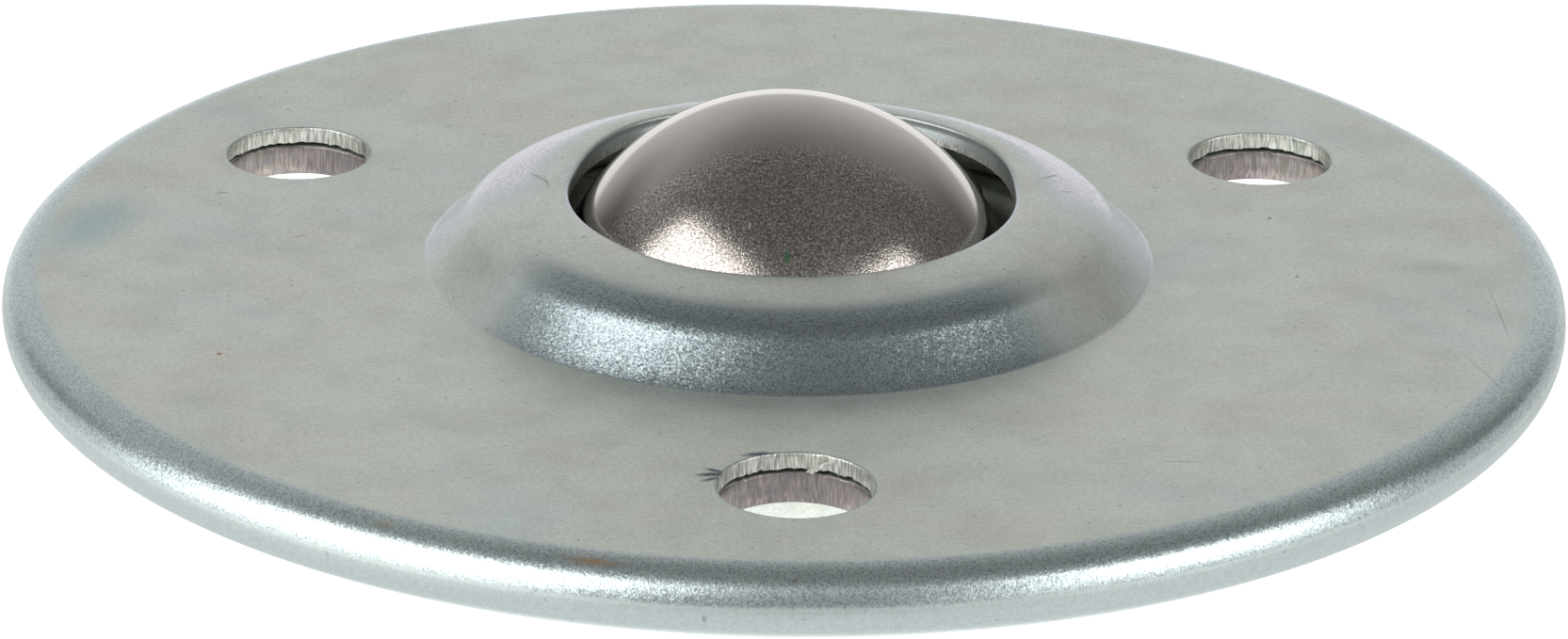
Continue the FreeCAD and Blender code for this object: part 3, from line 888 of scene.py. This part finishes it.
def makeFloor():
    # A white table, a disc whose rings widen as the square of their number. It glows evenly for what
    # looks at it, and a share of it is lit, so it keeps a shadow.
    t = np.linspace(0, 1, 13)[:, None] ** 2
    v = np.linspace(0, 2 * np.pi, 96, endpoint=False)[None, :]
    r = light["floorFar"] * t
    grid = np.stack((r * np.cos(v), r * np.sin(v), footLevel - 0.02 + 0 * t * v), axis=-1)
    mesh = bpy.data.meshes.new("floor")
    mesh.from_pydata((grid.reshape(-1, 3) * mm).tolist(), [], gridFaces(13, 96).tolist())
    edit = bmesh.new()
    edit.from_mesh(mesh)
    bmesh.ops.remove_doubles(edit, verts=edit.verts, dist=0.001 * mm)
    bmesh.ops.recalc_face_normals(edit, faces=edit.faces)
    edit.to_mesh(mesh)
    edit.free()
    floor = bpy.data.objects.new("floor", mesh)
    bpy.context.scene.collection.objects.link(floor)
    material = bpy.data.materials.new("white_table")
    material.use_nodes = True
    tree = material.node_tree
    tree.nodes.clear()
    path = addNode(tree, "ShaderNodeLightPath").outputs
    seen = calculated(tree, "MAXIMUM", path["Is Camera Ray"], path["Is Transmission Ray"])
    place = addNode(tree, "ShaderNodeTexCoord").outputs["Object"]
    depth = addNode(tree, "ShaderNodeSeparateXYZ", {0: place}).outputs["Y"]
    away = addNode(tree, "ShaderNodeVectorMath", {0: place}, operation="LENGTH").outputs["Value"]
    heading = addNode(tree, "ShaderNodeVectorMath", {0: place}, operation="NORMALIZE").outputs[0]
    mirrored = calculated(tree, "MAXIMUM",
                          ranged(tree, depth, -0.085, -0.065, light["floorFront"], light["floorNear"]),
                          ranged(tree, depth, -0.05, 0.06, 0, light["floorBack"]))
    mirrored = calculated(tree, "MAXIMUM", mirrored, ranged(tree, away, 0.038, 0.03, 0, light["floorUnder"]))
    aside = calculated(tree, "ABSOLUTE", addNode(tree, "ShaderNodeSeparateXYZ", {0: heading}).outputs["X"])
    aside = calculated(tree, "MULTIPLY", ranged(tree, aside, 0.5, 0.85), ranged(tree, away, 0.06, 0.09))
    aside = calculated(tree, "MULTIPLY_ADD", aside, light["floorSides"] - 1, 1.0)
    mirrored = calculated(tree, "MULTIPLY", mirrored, aside)
    for turn, outer, inner, start, radiance in light["pools"]:
        a = math.radians(photoCamera["azimuth"] + turn)
        along = addNode(tree, "ShaderNodeVectorMath", {0: heading, 1: (math.cos(a), math.sin(a), 0)},
                        operation="DOT_PRODUCT").outputs["Value"]
        pool = ranged(tree, along, math.cos(math.radians(outer)), math.cos(math.radians(inner)), 0, radiance)
        pool = calculated(tree, "MULTIPLY", pool, ranged(tree, away, start, start + 0.03))
        mirrored = calculated(tree, "MAXIMUM", mirrored, pool)
    lit = addNode(tree, "ShaderNodeBsdfDiffuse", {"Color": (0.8, 0.8, 0.8, 1)})
    glow = addNode(tree, "ShaderNodeEmission", {"Color": (1, 1, 1, 1), "Strength": light["floorGlow"]})
    shine = addNode(tree, "ShaderNodeEmission", {"Color": (1, 1, 1, 1), "Strength": mirrored})
    both = addNode(tree, "ShaderNodeAddShader", {0: lit.outputs[0], 1: glow.outputs[0]})
    out = addNode(tree, "ShaderNodeMixShader", {
        "Fac": path["Is Glossy Ray"], 1: lit.outputs[0], 2: shine.outputs[0]})
    out = addNode(tree, "ShaderNodeMixShader", {"Fac": seen, 1: out.outputs[0], 2: both.outputs[0]})
    addNode(tree, "ShaderNodeOutputMaterial", {"Surface": out.outputs[0]})
    mesh.materials.append(material)


def makeWorld():
    # A white sweep behind that fades upwards into a dim room, a little lighter over the camera. The
    # elevation is the arcsine of the direction's z, and each side has its own row of brightnesses.
    world = bpy.data.worlds.new("studio")
    world.use_nodes = True
    bpy.context.scene.world = world
    tree = world.node_tree
    tree.nodes.clear()
    direction = addNode(tree, "ShaderNodeTexCoord").outputs["Generated"]
    parts = addNode(tree, "ShaderNodeSeparateXYZ", {0: direction}).outputs
    rise = calculated(tree, "MULTIPLY", calculated(tree, "ARCSINE", parts["Z"]), 1 / math.pi)
    rise = calculated(tree, "ADD", rise, 0.5)
    levels = {}
    for side in ("back", "room", "front"):
        ramp = addNode(tree, "ShaderNodeValToRGB", {"Fac": rise})
        stops = ramp.color_ramp.elements
        while len(stops) < len(light[side]):
            stops.new(0.5)
        for stop, (angle, level) in zip(stops, light[side]):
            stop.position = angle / 180 + 0.5
            white = min(1, max(0, (5 - angle) / 5)) if side == "back" else 0
            stop.color = [level * (1 + tint * white) for tint in light["sweepTint"]] + [1]
        levels[side] = ramp.outputs["Color"]
    across = addNode(tree, "ShaderNodeVectorMath", {0: direction, 1: (1, 1, 0)},
                     operation="MULTIPLY").outputs[0]
    heading = addNode(tree, "ShaderNodeVectorMath", {0: across}, operation="NORMALIZE").outputs[0]
    depth = addNode(tree, "ShaderNodeSeparateXYZ", {0: heading}).outputs["Y"]
    slanting = addNode(tree, "ShaderNodeVectorMath", {0: heading, 1: (-0.2, 0.98, 0)},
                       operation="DOT_PRODUCT").outputs["Value"]
    share = addNode(tree, "ShaderNodeMix", {
        "Factor": ranged(tree, parts["Z"], 0.3, 0.6), "A": ranged(tree, depth, 0.6, 1.0),
        "B": ranged(tree, slanting, 0.15, 0.95)}, data_type="FLOAT").outputs["Result"]
    room = tinted(tree, ranged(tree, depth, -0.4, -0.85), levels["room"], levels["front"])
    room = tinted(tree, share, room, levels["back"])
    seen = addNode(tree, "ShaderNodeLightPath").outputs["Is Camera Ray"]
    colour = addNode(tree, "ShaderNodeMix", {"Factor": seen, "A": room, "B": (1, 1, 1, 1)},
                     data_type="RGBA").outputs["Result"]
    shine = addNode(tree, "ShaderNodeBackground", {"Color": colour, "Strength": 1.0})
    addNode(tree, "ShaderNodeOutputWorld", {"Surface": shine.outputs[0]})


def makeLamp(name, turn, edges, top, foot, distance, radiance):
    # An upright soft box facing the part: its sides at the edges' angles either side of its turn,
    # its top and foot at heights given as shares of its distance.
    a = math.radians(photoCamera["azimuth"] + turn)
    first, last = (distance * math.tan(math.radians(edge)) for edge in edges)
    outward = Vector((math.cos(a), math.sin(a), 0))
    sideways = Vector((-math.sin(a), math.cos(a), 0))
    where = outward * distance + sideways * (first + last) / 2 + Vector((0, 0, distance * (top + foot) / 2))
    lamp = bpy.data.lights.new(name, "AREA")
    lamp.shape = "RECTANGLE"
    lamp.size = last - first
    lamp.size_y = distance * (top - foot)
    lamp.energy = radiance * math.pi * lamp.size * lamp.size_y
    holder = bpy.data.objects.new(name, lamp)
    holder.matrix_world = Matrix.Translation(where) @ outward.to_track_quat("Z", "Y").to_matrix().to_4x4()
    bpy.context.scene.collection.objects.link(holder)


def makeCamera():
    # It stands at its distance from the target, at the azimuth and elevation, with its right level, and
    # is then rolled about its line of sight.
    a = math.radians(photoCamera["azimuth"])
    e = math.radians(photoCamera["elevation"])
    back = Vector((math.cos(a) * math.cos(e), math.sin(a) * math.cos(e), math.sin(e)))
    right = Vector((-math.sin(a), math.cos(a), 0))
    upward = back.cross(right)
    turned = math.radians(photoCamera["roll"])
    x = right * math.cos(turned) + upward * math.sin(turned)
    y = upward * math.cos(turned) - right * math.sin(turned)
    place = (Vector(photoCamera["target"]) + back * photoCamera["distance"]) * mm
    data = bpy.data.cameras.new("photo_camera")
    data.lens = photoCamera["lens"]
    data.sensor_width = 36
    data.sensor_fit = "HORIZONTAL"
    data.clip_start = 0.01
    data.clip_end = 20
    camera = bpy.data.objects.new("photo_camera", data)
    camera.matrix_world = Matrix((x, y, back)).transposed().to_4x4()
    camera.matrix_world.translation = place
    bpy.context.scene.collection.objects.link(camera)
    bpy.context.scene.camera = camera


makeFloor()
makeWorld()
for lampName, lamp in light["lamps"].items():
    makeLamp(f"soft_box_{lampName}", **lamp)
makeCamera()
bpy.context.scene.view_settings.view_transform = "Standard"
print("studio made")
